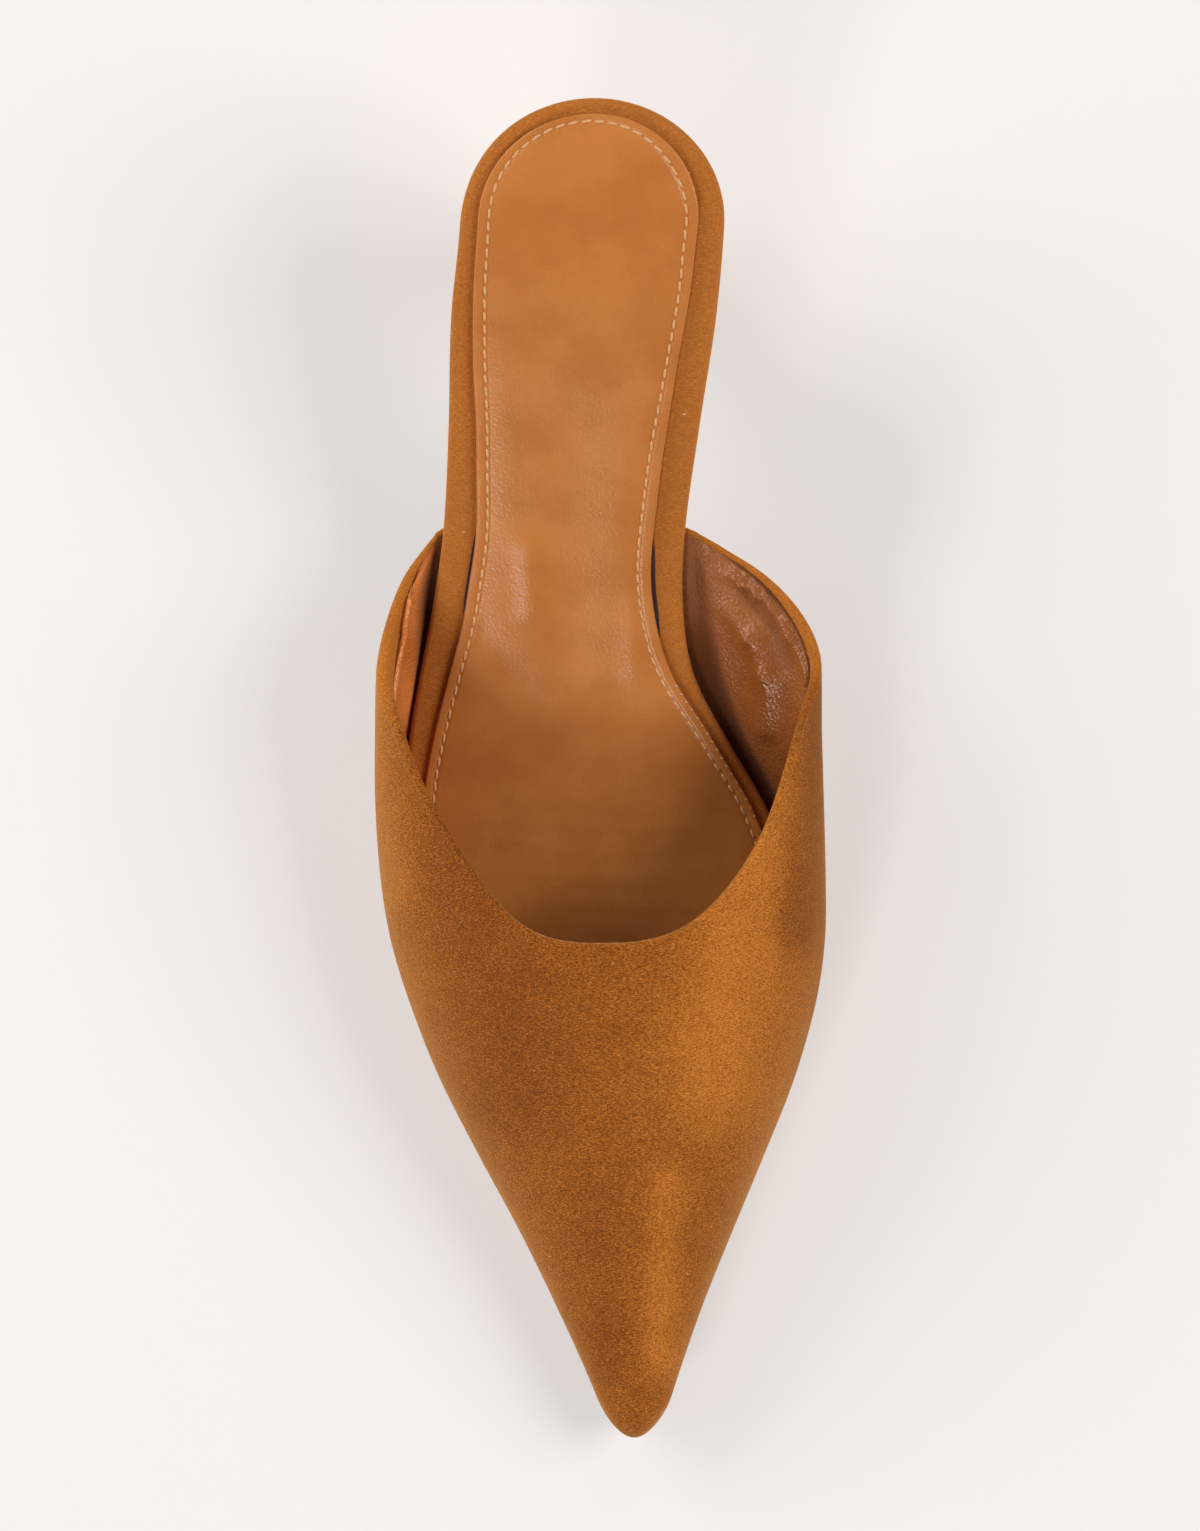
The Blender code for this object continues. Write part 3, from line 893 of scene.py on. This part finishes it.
def makeLining():
    look = liningLook
    lines = [look["lowest"] * (1 - row / look["marginRows"]) for row in range(look["marginRows"])]
    shownRows = look["lowerRows"] + look["upperRows"]
    lines += [lineAt(row + look["marginRows"], look) for row in range(shownRows + 1)]
    half = look["sideColumns"] + look["noseColumns"]
    seams = {}
    shades = {}
    for side in (-1, 1):
        for line in lines:
            along = edgeAlong(line, side, rimHalf(line, side) + shownAt(line, side))
            seams[side, line] = along, skinSpot(line, side, along)

    def shape(column, row):
        column, line = round(column), lines[round(row)]
        shadeKey = column, round(row)
        side = -1 if column < half else 1
        column = min(column, 2 * half - column)
        first, seam = seams[side, line]
        if column > look["sideColumns"]:
            along = -(column - look["sideColumns"]) / look["noseColumns"]
            place = skinSpot(line, side, along)
            return place - skinNormal(line, side, along) * shoe["wall"] * mm
        along = mix(first, 0.0, (column / look["sideColumns"]) ** look["crowding"])
        place = skinSpot(line, side, along)
        fromSeam = (place - seam).length / mm
        free = ease(*look["freeFrom"], line)
        rim = 2 * rimHalf(line, side) + rimLean(line, side)
        wall = mix(look["besideBoard"], look["aboveBoard"], ease(*look["clearsBoard"], line))
        depth = mix(rim, wall, ease(*look["thins"], fromSeam))
        # The folded edge
        rounding = quarter(max(0.0, look["foldRound"] - fromSeam), look["foldRound"])
        lip = look["lip"][side] * rounding * bell(fromSeam, look["lipWidth"])
        depth += free * (lip - look["sunk"] * (1 - rounding))
        # painted shade in the groove along the fold
        shades[shadeKey] = free * look["grooveShade"] * (1 - ease(*look["grooveWidth"], fromSeam))
        if side > 0:
            slack = look["slack"] * ease(*look["slackFrom"], fromSeam)
            depth += free * slack * (1 - ease(*look["slackEnds"], line))
        normal = skinNormal(line, side, along)
        place -= normal * max(depth, look["shallowest"]) * mm
        fade = 1 - ease(*look["swellEnds"], line)
        if fade > 0:
            swell = swellRise(side, place.x / mm, stationOf(place)) * ease(*look["swellStarts"], line)
            place.z += fade * swell * ease(*look["swellFrom"][side], fromSeam) * mm
            fold = fade * creaseHeight(liningCreases, place.x / mm, stationOf(place))
            place -= normal * free * max(fold, look["shallowest"] - depth) * mm
            # painted shade in the hollows of the creases
            valley = min(-fold, look["valleyDepth"]) * look["valleyShade"]
            shades[shadeKey] = max(shades[shadeKey], valley)
        return place

    # painted shade beside the footbed, less at the top, together with the groove and hollow shade
    def paintedShade(column, row, place):
        station = stationOf(place)
        side = 1 if place.x > 0 else -1
        boardShade = 1 - ease(*look["boardShade"], besideCrest(side, place.x / mm, station))
        boardShade *= mix(look["boardShadeTop"][side], 1.0, ease(*look["boardShadeFrom"], station))
        return max(boardShade, shades.get((round(column), round(row)), 0.0))

    grid = mappedGrid(2 * half, len(lines) - 1, shape, wear=paintedShade)
    faceLike(grid, Vector((0, 0, -1)), aboveToes)
    return thicken(makePiece("vampLining", grid, liningLeather), look["thick"])


makeVamp()
makeLining()
print("vamp and lining made")


def nestedSheet(columns, rows, edge, start, end, height):
    # A closed sheet made of outlines nested inside each other. Rows go from the middle of the
    # underside round the edge to the middle of the top: inset, share of the way in, level.
    def shape(column, row):
        side = -1 if column < columns else 1
        inset, inward, level = rows[round(row)]
        along = (1 - math.cos(math.pi * abs(column - columns) / columns)) / 2
        station = mix(start + inset, end - inset, along)
        middle = (edge(-1, station, inset) + edge(1, station, inset)) / 2
        x = mix(edge(side, station, inset), middle, inward)
        return spot(x, station, height(x, station, inset, inward, level))

    grid = mappedGrid(2 * columns, len(rows) - 1, shape)
    closeUp(grid)
    return grid


boardLook = {
    "columns": 150,
    "edgeRound": 1.1,
    "edgeSteps": 6,
    "under": (1.0, 0.5),      # rows from the middle out to the edge, and back in on top
    "over": (0.15, 0.3, 0.6, 1.0),
}


def boardEdge(side, station, inset):
    return bedEdge(side, station, inset, inset, shoe["boardReach"] - inset)


def makeFootbed():
    look = boardLook
    rows = [(look["edgeRound"], inward, -1.0) for inward in look["under"]]
    for step in range(look["edgeSteps"] * 2 + 1):
        turn = math.pi * (step / (look["edgeSteps"] * 2) - 0.5)
        rows.append((look["edgeRound"] * (1 - math.cos(turn)), 0.0, math.sin(turn)))
    rows += [(look["edgeRound"], inward, 1.0) for inward in look["over"]]

    def height(x, station, inset, inward, level):
        return bedHeight(station) - shoe["board"] * (1 - level) / 2

    grid = nestedSheet(look["columns"], rows, boardEdge, 0.0, noseStart + shoe["boardReach"], height)
    return makePiece("footbedWrap", grid, wrapSuede, "insole_board")


sockLook = {
    "columns": 300,
    "back": 3.1,              # bare rim behind it
    "tipStart": 226.0,        # its round front end, deep in the toe
    "tipLength": 16.0,
    "topHeight": 1.1,         # over the gap on the insole
    "edgeRound": 0.42,
    "undersideRound": 0.25,
    "seamDepth": 0.26,
    "seamWidth": 0.40,
    "pillow": 0.25,
    "pillowWidth": 2.4,
    "creasedFrom": (2.2, 4.5),    # creases die out towards the edge
    "unevenEdge": 0.10,       # the cut edge wavers, but not round the heel
    "unevenFrom": (8.0, 25.0),
    "insets": (0.0, 0.04, 0.12, 0.25, 0.42, 0.7, 0.95, 1.2, 1.45, 1.7, 1.95, 2.2, 2.45, 2.7, 2.95, 3.3,
               4.0, 5.2, 6.6, 8.0),
    "inward": (0.15, 0.3, 0.45, 0.6, 0.75, 0.9, 1.0),
}

# Stitch row from the sock's edge
seamInset = rowsOf(
    "station  outer  inner",
    (3.0,    1.30,   1.30),
    (12.0,   1.75,   2.15),
    (24.0,   2.05,   2.20),
    (48.0,   2.25,   2.05),
    (66.0,   2.10,   2.50),
    (92.0,   2.20,   2.55),
    (104.0,  2.15,   2.50),
    (120.0,  2.00,   2.45),
    (134.0,  1.90,   2.10),
    (240.0,  1.60,   1.60),
)

# Places where the sock has stretched over the edge of the shank or has wrinkled in the throat
sockCreases = creasesOf(
    (-13.4, 83.0, -12.8, 94.0, 2.5, 0.50),
    (8.2, 90.0, 6.8, 106.0, 2.6, 0.50),
    (-4.5, 60.0, -5.0, 104.0, 6.0, -0.28),
    (-23.0, 100.0, -14.0, 112.0, 4.0, -0.30),
    (-18.0, 139.0, -4.0, 141.5, 0.9, 0.18),
    (2.0, 137.0, 20.0, 136.0, 0.8, 0.15),
    (-14.0, 145.5, 8.0, 147.0, 0.9, 0.18),
    (4.0, 143.5, 22.0, 141.5, 0.9, -0.15),
    (-20.0, 132.5, -2.0, 134.0, 1.0, -0.14),
    (-9.0, 151.0, 14.0, 152.0, 1.0, 0.18),
)


def sockEdge(side, station, inset=0.0):
    look = sockLook
    wave = math.sin(station / 7.3 + side) + 0.6 * math.sin(station / 3.1 - side)
    ends = []
    for which in (-1, 1):
        rim = smooth(footbed, sideName(which) + "Rim", station)
        rim += look["unevenEdge"] * wave * ease(*look["unevenFrom"], station)
        ends.append(bedEdge(which, station, rim + inset, look["back"] + inset))
    middle = sum(ends) / 2
    half = (ends[1] - ends[0]) / 2
    if station > look["tipStart"]:
        half *= quarter(station - look["tipStart"], look["tipLength"] - inset)
    return middle + side * max(half, 0.0)


def sockTop(x, station, inset):
    # Rolled edge, a sunk line for the stitches and a little padding inside it
    look = sockLook
    middle = (smooth(footbed, "outer", station) + smooth(footbed, "inner", station)) / 2
    seam = smooth(seamInset, sideName(x - middle), station)
    drop = look["edgeRound"] * (1 - quarter(max(0.0, look["edgeRound"] - inset), look["edgeRound"]))
    groove = look["seamDepth"] * bell(inset - seam, look["seamWidth"])
    pad = look["pillow"] * (1 - bell(max(0.0, inset - seam), look["pillowWidth"]))
    dent = creaseHeight(sockCreases, x, station) * ease(*look["creasedFrom"], inset)
    return bedHeight(station) + shoe["gap"] + look["topHeight"] - drop - groove + pad + dent


def makeSock():
    look = sockLook
    deepest = look["insets"][-1]
    low = look["undersideRound"]
    rows = [(deepest, 1.0, 0.0), (deepest, 0.5, 0.0), (deepest, 0.0, 0.0), (low, 0.0, 0.0), (0.0, 0.0, low)]
    rows += [(inset, 0.0, None) for inset in look["insets"]]
    rows += [(deepest, inward, None) for inward in look["inward"]]

    def height(x, station, inset, inward, level):
        if level is None:
            return sockTop(x, station, inset)
        return bedHeight(station) + shoe["gap"] + level

    end = look["tipStart"] + look["tipLength"]
    grid = nestedSheet(look["columns"], rows, sockEdge, look["back"], end, height)
    return makePiece("sockLeather", grid, sockLeather, "insole_sock")


stitchLook = {
    "pitch": 2.5,
    "length": 2.30,
    "radius": 0.28,
    "slant": 5.0,             # degrees off the seam line
    "lift": 0.06,
    "from": 0.0,              # stations where the row starts and ends
    "to": 168.0,
    "segments": 8,
}

# Nicks where the sock's cut edge has frayed on the inner side
nickLook = {
    "pitch": 1.9,
    "length": 0.7,
    "radius": 0.16,
    "slant": 25.0,
    "lift": 0.1,
    "from": 109.0,
    "to": 136.0,
    "inset": 0.35,
    "segments": 6,
}


def sockPath(insetAt, look, sides):
    # Spots along a line that runs round the sock at an inset, from the outer side to the inner
    start = sockLook["back"] + insetAt(1, sockLook["back"])
    steps = 700
    spots = []
    for side in sides:
        run = []
        for step in range(steps + 1):
            station = mix(start, sockLook["tipStart"], (1 - math.cos(math.pi * step / steps)) / 2)
            if look["from"] <= station <= look["to"]:
                inset = insetAt(side, station)
                x = sockEdge(side, station, inset)
                run.append(spot(x, station, sockTop(x, station, inset) + look["lift"]))
        spots += run[::-1] if side < 0 else run
    return spots


def evenly(path, pitch):
    # Places and directions a pitch apart along a path
    found = []
    travelled = 0.0
    due = 0.0
    for first, second in zip(path, path[1:]):
        length = (second - first).length
        while length > 0 and due <= travelled + length:
            share = (due - travelled) / length
            found.append((first.lerp(second, share), (second - first).normalized()))
            due += pitch
        travelled += length
    return found


def addStitch(grid, at, run, up, look):
    # A short pad of thread whose ends dip into the leather
    half = look["length"] * mm / 2
    radius = look["radius"] * mm
    dipped = 1.3
    across = up.cross(run).normalized()
    made = bmesh.ops.create_uvsphere(grid, u_segments=look["segments"], v_segments=8, radius=1.0)
    for vertex in made["verts"]:
        x, y, z = vertex.co
        share = math.asin(max(-1.0, min(1.0, z))) / (math.pi / 2)
        plump = quarter(share * share, 1.0) / max(quarter(z, 1.0), 0.001)
        dip = radius * dipped * share ** 4
        vertex.co = at + run * half * share + across * x * plump * radius + up * (y * plump * radius - dip)


def threadRow(name, path, look):
    grid = bmesh.new()
    places = evenly(path, look["pitch"] * mm)
    for at, run in places:
        across = Vector((0, 0, 1)).cross(run).normalized()
        up = run.cross(across).normalized()
        turn = math.radians(look["slant"])
        slanted = (run * math.cos(turn) + across * math.sin(turn)).normalized()
        addStitch(grid, at, slanted, up, look)
    bmesh.ops.recalc_face_normals(grid, faces=grid.faces)
    print(name, len(places))
    return makePiece(name, grid, thread, sharp=80)


def makeStitches():
    def seamAt(side, station):
        return smooth(seamInset, sideName(side), station)

    def frayAt(side, station):
        return nickLook["inset"]

    threadRow("sockStitches", sockPath(seamAt, stitchLook, (-1, 1)), stitchLook)
    threadRow("frayedEdge", sockPath(frayAt, nickLook, (1,)), nickLook)


foamLook = {
    "columns": 140,
    "thick": 0.30,
    "lift": 0.02,
    "back": 1.5,              # how far inside the sock it starts and ends
    "front": 2.0,
    "tucked": -1.2,           # how far it lies back under the sock where it doesn't show
    # Where it peeps out at the waist: side, middle station, half length and width shown; the last, thin
    # strip on the outer side is a painted shadow, dark foam set along the shade line under the sock's cut
    # edge
    "shows": [(1, 90.5, 11.5, 0.80), (-1, 88.0, 11.0, 0.58), (-1, 106.0, 16.0, 0.20)],
}


def makeSockFoam():
    def edge(side, station, inset):
        out = foamLook["tucked"]
        for shown, middle, half, width in foamLook["shows"]:
            if shown == side:
                share = math.exp(-abs((station - middle) / half) ** 4)
                out = max(out, mix(foamLook["tucked"], width, share))
        return sockEdge(side, station, inset) + side * out

    def height(x, station, inset, inward, level):
        return bedHeight(station) + foamLook["lift"] + level * foamLook["thick"]

    rows = [(1.0, 1.0, 0.0), (1.0, 0.0, 0.0), (0.0, 0.0, 0.0), (0.0, 0.0, 0.6), (0.1, 0.0, 1.0),
            (1.0, 0.0, 1.0), (1.0, 1.0, 1.0)]
    start = sockLook["back"] + foamLook["back"]
    end = sockLook["tipStart"] + sockLook["tipLength"] - foamLook["front"]
    grid = nestedSheet(foamLook["columns"], rows, edge, start, end, height)
    return makePiece("sockFoamLayer", grid, foam)


makeFootbed()
makeSock()
makeSockFoam()
makeStitches()
print("footbed, sock and stitches made")


soleLook = {
    "columns": 170,
    "waistInset": 1.6,
    "frontInset": -0.6,       # past the board, out to just inside the feather edge
    "widens": (82.0, 95.0),
    "drops": (66.0, 79.0),    # makes room for the turned-in upper
    "edgeRound": 0.5,
    # Half of its section: inset as a share of the rounding, and level from the tread up
    "edge": [(1.0, 0.0), (0.3, 0.07), (0.0, 0.25), (0.0, 0.75), (0.3, 0.93), (1.0, 1.0)],
    "across": (-0.66, -0.33, 0.0, 0.33, 0.66),      # spots on the tread between its edges
}


def makeOutsole():
    look = soleLook
    end = noseStart + shoe["boardReach"] - look["frontInset"]
    rounded = look["edgeRound"]

    def shape(column, row):
        share = (1 - math.cos(math.pi * column / look["columns"])) / 2
        station = mix(shoe["breast"] + shoe["gap"], end, share)
        front = mix(look["waistInset"], look["frontInset"], ease(*look["widens"], station))
        ends = [bedEdge(side, station, front, 0.0, end - noseStart) for side in (-1, 1)]
        middle = sum(ends) / 2
        half = max((ends[1] - ends[0]) / 2, 0.0)
        side, inset, level = loop[round(row) % len(loop)]
        room = mix(shoe["gap"], shoe["wall"] + 2 * shoe["gap"], ease(*look["drops"], station))
        top = bedHeight(station) - shoe["board"] - room
        reach = max(half - rounded * inset, 0.0)
        return spot(middle + side * reach, station, top - shoe["outsole"] * (1 - level))

    loop = [(1, inset, level) for inset, level in look["edge"]]
    loop += [(-1, inset, level) for inset, level in look["edge"][::-1]]
    loop += [(side, 0.0, 0.0) for side in look["across"]]
    grid = mappedGrid(look["columns"], len(loop), shape)
    closeUp(grid)
    return makePiece("outsoleRubber", grid, soleGloss, "outsole")


heel = rowsOf(
    "row   backHeight  breastHeight  back   breast  width",
    (0.0,  57.0,       43.0,         0.0,   47.0,   48.0),
    (1.0,  50.5,       39.5,         2.4,   43.4,   42.5),
    (2.0,  43.5,       35.2,         6.2,   39.8,   33.0),
    (3.0,  36.5,       30.6,         10.2,  37.2,   25.4),
    (4.0,  29.0,       25.6,         13.6,  35.6,   20.2),
    (5.0,  21.0,       19.6,         16.4,  34.6,   16.6),
    (6.0,  13.0,       12.6,         18.2,  33.9,   14.2),
    (7.0,  5.3,        5.3,          19.2,  33.2,   12.8),
)
heelLook = {
    "inset": 0.8,             # inside the insole, at the seat
    "crowding": 0.8,
    "seamAt": -0.5,           # x where the cover is joined, down the breast
    "seamDepth": 0.25,
    "seamWidth": 0.35,
    "backSteps": 72,
    "breastSteps": 20,
    "rings": 60,
    "seatRings": 4,
}


def seatOutline(step):
    look = heelLook
    if step <= look["backSteps"]:
        turn = math.pi * step / look["backSteps"]
        side = -1 if turn < math.pi / 2 else 1
        station = mix(shoe["breast"], look["inset"], math.sin(turn) ** look["crowding"])
        return bedEdge(side, station, look["inset"], look["inset"]), station
    share = (step - look["backSteps"]) / look["breastSteps"]
    ends = [bedEdge(side, shoe["breast"], look["inset"]) for side in (1, -1)]
    return mix(*ends, share), shoe["breast"]


def heelPoint(row, step):
    around = heelLook["backSteps"] + heelLook["breastSteps"]
    x, seatStation = seatOutline(round(step) % around)
    share = seatStation / shoe["breast"]
    station = mix(smooth(heel, "back", row, "row"), smooth(heel, "breast", row, "row"), share)
    height = mix(smooth(heel, "backHeight", row, "row"), smooth(heel, "breastHeight", row, "row"), share)
    return x * smooth(heel, "width", row, "row") / heel["width"][0], station, height


def makeHeel():
    look = heelLook
    lastRow = heel["row"][-1]

    def shape(step, ring):
        ring -= look["seatRings"]
        if ring > 0:
            x, station, height = heelPoint(lastRow * ring / look["rings"], step)
            onBreast = look["backSteps"] < round(step) < look["backSteps"] + look["breastSteps"]
            if onBreast:
                station -= look["seamDepth"] * bell(x - look["seamAt"], look["seamWidth"])
            return spot(x, station, height)
        x, station, _ = heelPoint(0.0, step)
        shrink = 1 + ring / look["seatRings"]
        station = mix(shoe["breast"] / 2, station, shrink)
        return spot(x * shrink, station, bedHeight(station) - shoe["board"] - shoe["gap"])

    grid = mappedGrid(look["backSteps"] + look["breastSteps"], look["rings"] + look["seatRings"], shape)
    closeUp(grid)
    return makePiece("heelCover", grid, wrapSuede, "heel", sharp=70)


# Inset and height, from its flat tread up its side
tipProfile = ((3.0, 0.0), (0.35, 0.0), (0.12, 0.12), (0.0, 0.4), (0.0, 4.7), (0.1, 4.92), (0.3, 5.0))


def makeTopPiece():
    middle = (heel["back"][-1] + heel["breast"][-1]) / 2

    def shape(step, ring):
        inset, height = tipProfile[round(ring)]
        x, station, _ = heelPoint(heel["row"][-1], step)
        share = 1 - inset / math.hypot(x, station - middle)
        return spot(x * share, mix(middle, station, share), height)

    grid = mappedGrid(heelLook["backSteps"] + heelLook["breastSteps"], len(tipProfile) - 1, shape)
    closeUp(grid)
    return makePiece("heelTopPiece", grid, tipRubber, "heel_top_piece")


makeOutsole()
makeHeel()
makeTopPiece()
print("outsole and heel made")


stageLook = {
    "floorReach": 3.0,        # metres, as are the places on the stage
    "floorDrop": 0.0002,
    "floor": (0.49, 0.47, 0.46),
    "floorGlow": 0.385,       # keeps the shadows on the floor pale
    "glowColor": (1.0, 0.965, 0.95),
    "world": (1.0, 0.97, 0.95),
    "worldStrength": 0.03,
    "cameraAt": (0.042, 0.003, 1.2),
    "aim": (0.0, 0.003, 0.022),
    "shown": 0.300,           # height of the view at the floor
}

# Soft boxes: place, size, watts and colour
lights = {
    "frontLight": ((-0.44, -1.05, 0.74), (0.36, 0.36), 6.4, (1.0, 0.97, 0.94)),
    "keyLight": ((1.00, 0.14, 0.98), (0.8, 0.8), 14.0, (1.0, 0.97, 0.94)),
    "leftLight": ((-0.95, 0.62, 0.66), (0.9, 0.7), 9.8, (0.99, 0.98, 0.98)),
    "topLight": ((-0.50, 0.15, 0.95), (0.6, 0.6), 0.7, (1.0, 0.98, 0.96)),
    "lowLight": ((1.30, -0.30, 0.40), (0.8, 0.6), 2.5, (1.0, 0.97, 0.95)),
    "sideLight": ((-1.30, 0.00, 0.40), (0.8, 0.6), 4.8, (1.0, 0.98, 0.96)),
    "backLight": ((0.20, 1.25, 0.80), (0.8, 0.8), 2.0, (1.0, 0.98, 0.96)),
}


def makeStage():
    grid = bmesh.new()
    bmesh.ops.create_grid(grid, x_segments=8, y_segments=8, size=stageLook["floorReach"])
    mesh = bpy.data.meshes.new("floor")
    grid.to_mesh(mesh)
    grid.free()
    material, tree, shader = newMaterial("floorPaint")
    shader.inputs["Base Color"].default_value = (*stageLook["floor"], 1.0)
    shader.inputs["Roughness"].default_value = 0.85
    shader.inputs["Specular IOR Level"].default_value = 0.2
    shader.inputs["Emission Color"].default_value = (*stageLook["glowColor"], 1.0)
    shader.inputs["Emission Strength"].default_value = stageLook["floorGlow"]
    mesh.materials.append(material)
    floor = bpy.data.objects.new("floor", mesh)
    floor.location.z = -stageLook["floorDrop"]
    scene.collection.objects.link(floor)
    world = bpy.data.worlds.new("studio")
    world.use_nodes = True
    back = world.node_tree.nodes["Background"]
    back.inputs["Color"].default_value = (*stageLook["world"], 1.0)
    back.inputs["Strength"].default_value = stageLook["worldStrength"]
    scene.world = world


def makeLight(name, place, size, power, color):
    light = bpy.data.lights.new(name, "AREA")
    light.shape = "RECTANGLE"
    light.size, light.size_y = size
    light.energy = power
    light.color = color
    lamp = bpy.data.objects.new(name, light)
    lamp.location = place
    lamp.rotation_euler = (Vector((0, 0, 0)) - Vector(place)).to_track_quat("-Z", "Y").to_euler()
    scene.collection.objects.link(lamp)


def makeCamera():
    data = bpy.data.cameras.new("camera")
    data.sensor_width = 36.0
    place = Vector(stageLook["cameraAt"])
    data.lens = data.sensor_width * place.z / stageLook["shown"]
    data.clip_start = 0.05
    camera = bpy.data.objects.new("camera", data)
    camera.location = place
    # It looks down with the heel at the top of the view
    back = (place - Vector(stageLook["aim"])).normalized()
    right = Vector((0, 1, 0)).cross(back).normalized()
    camera.rotation_euler = Matrix((right, back.cross(right), back)).transposed().to_euler()
    scene.collection.objects.link(camera)
    scene.camera = camera


makeStage()
for name, light in lights.items():
    makeLight(name, *light)
makeCamera()
scene.view_settings.view_transform = "Standard"
print("stage made")
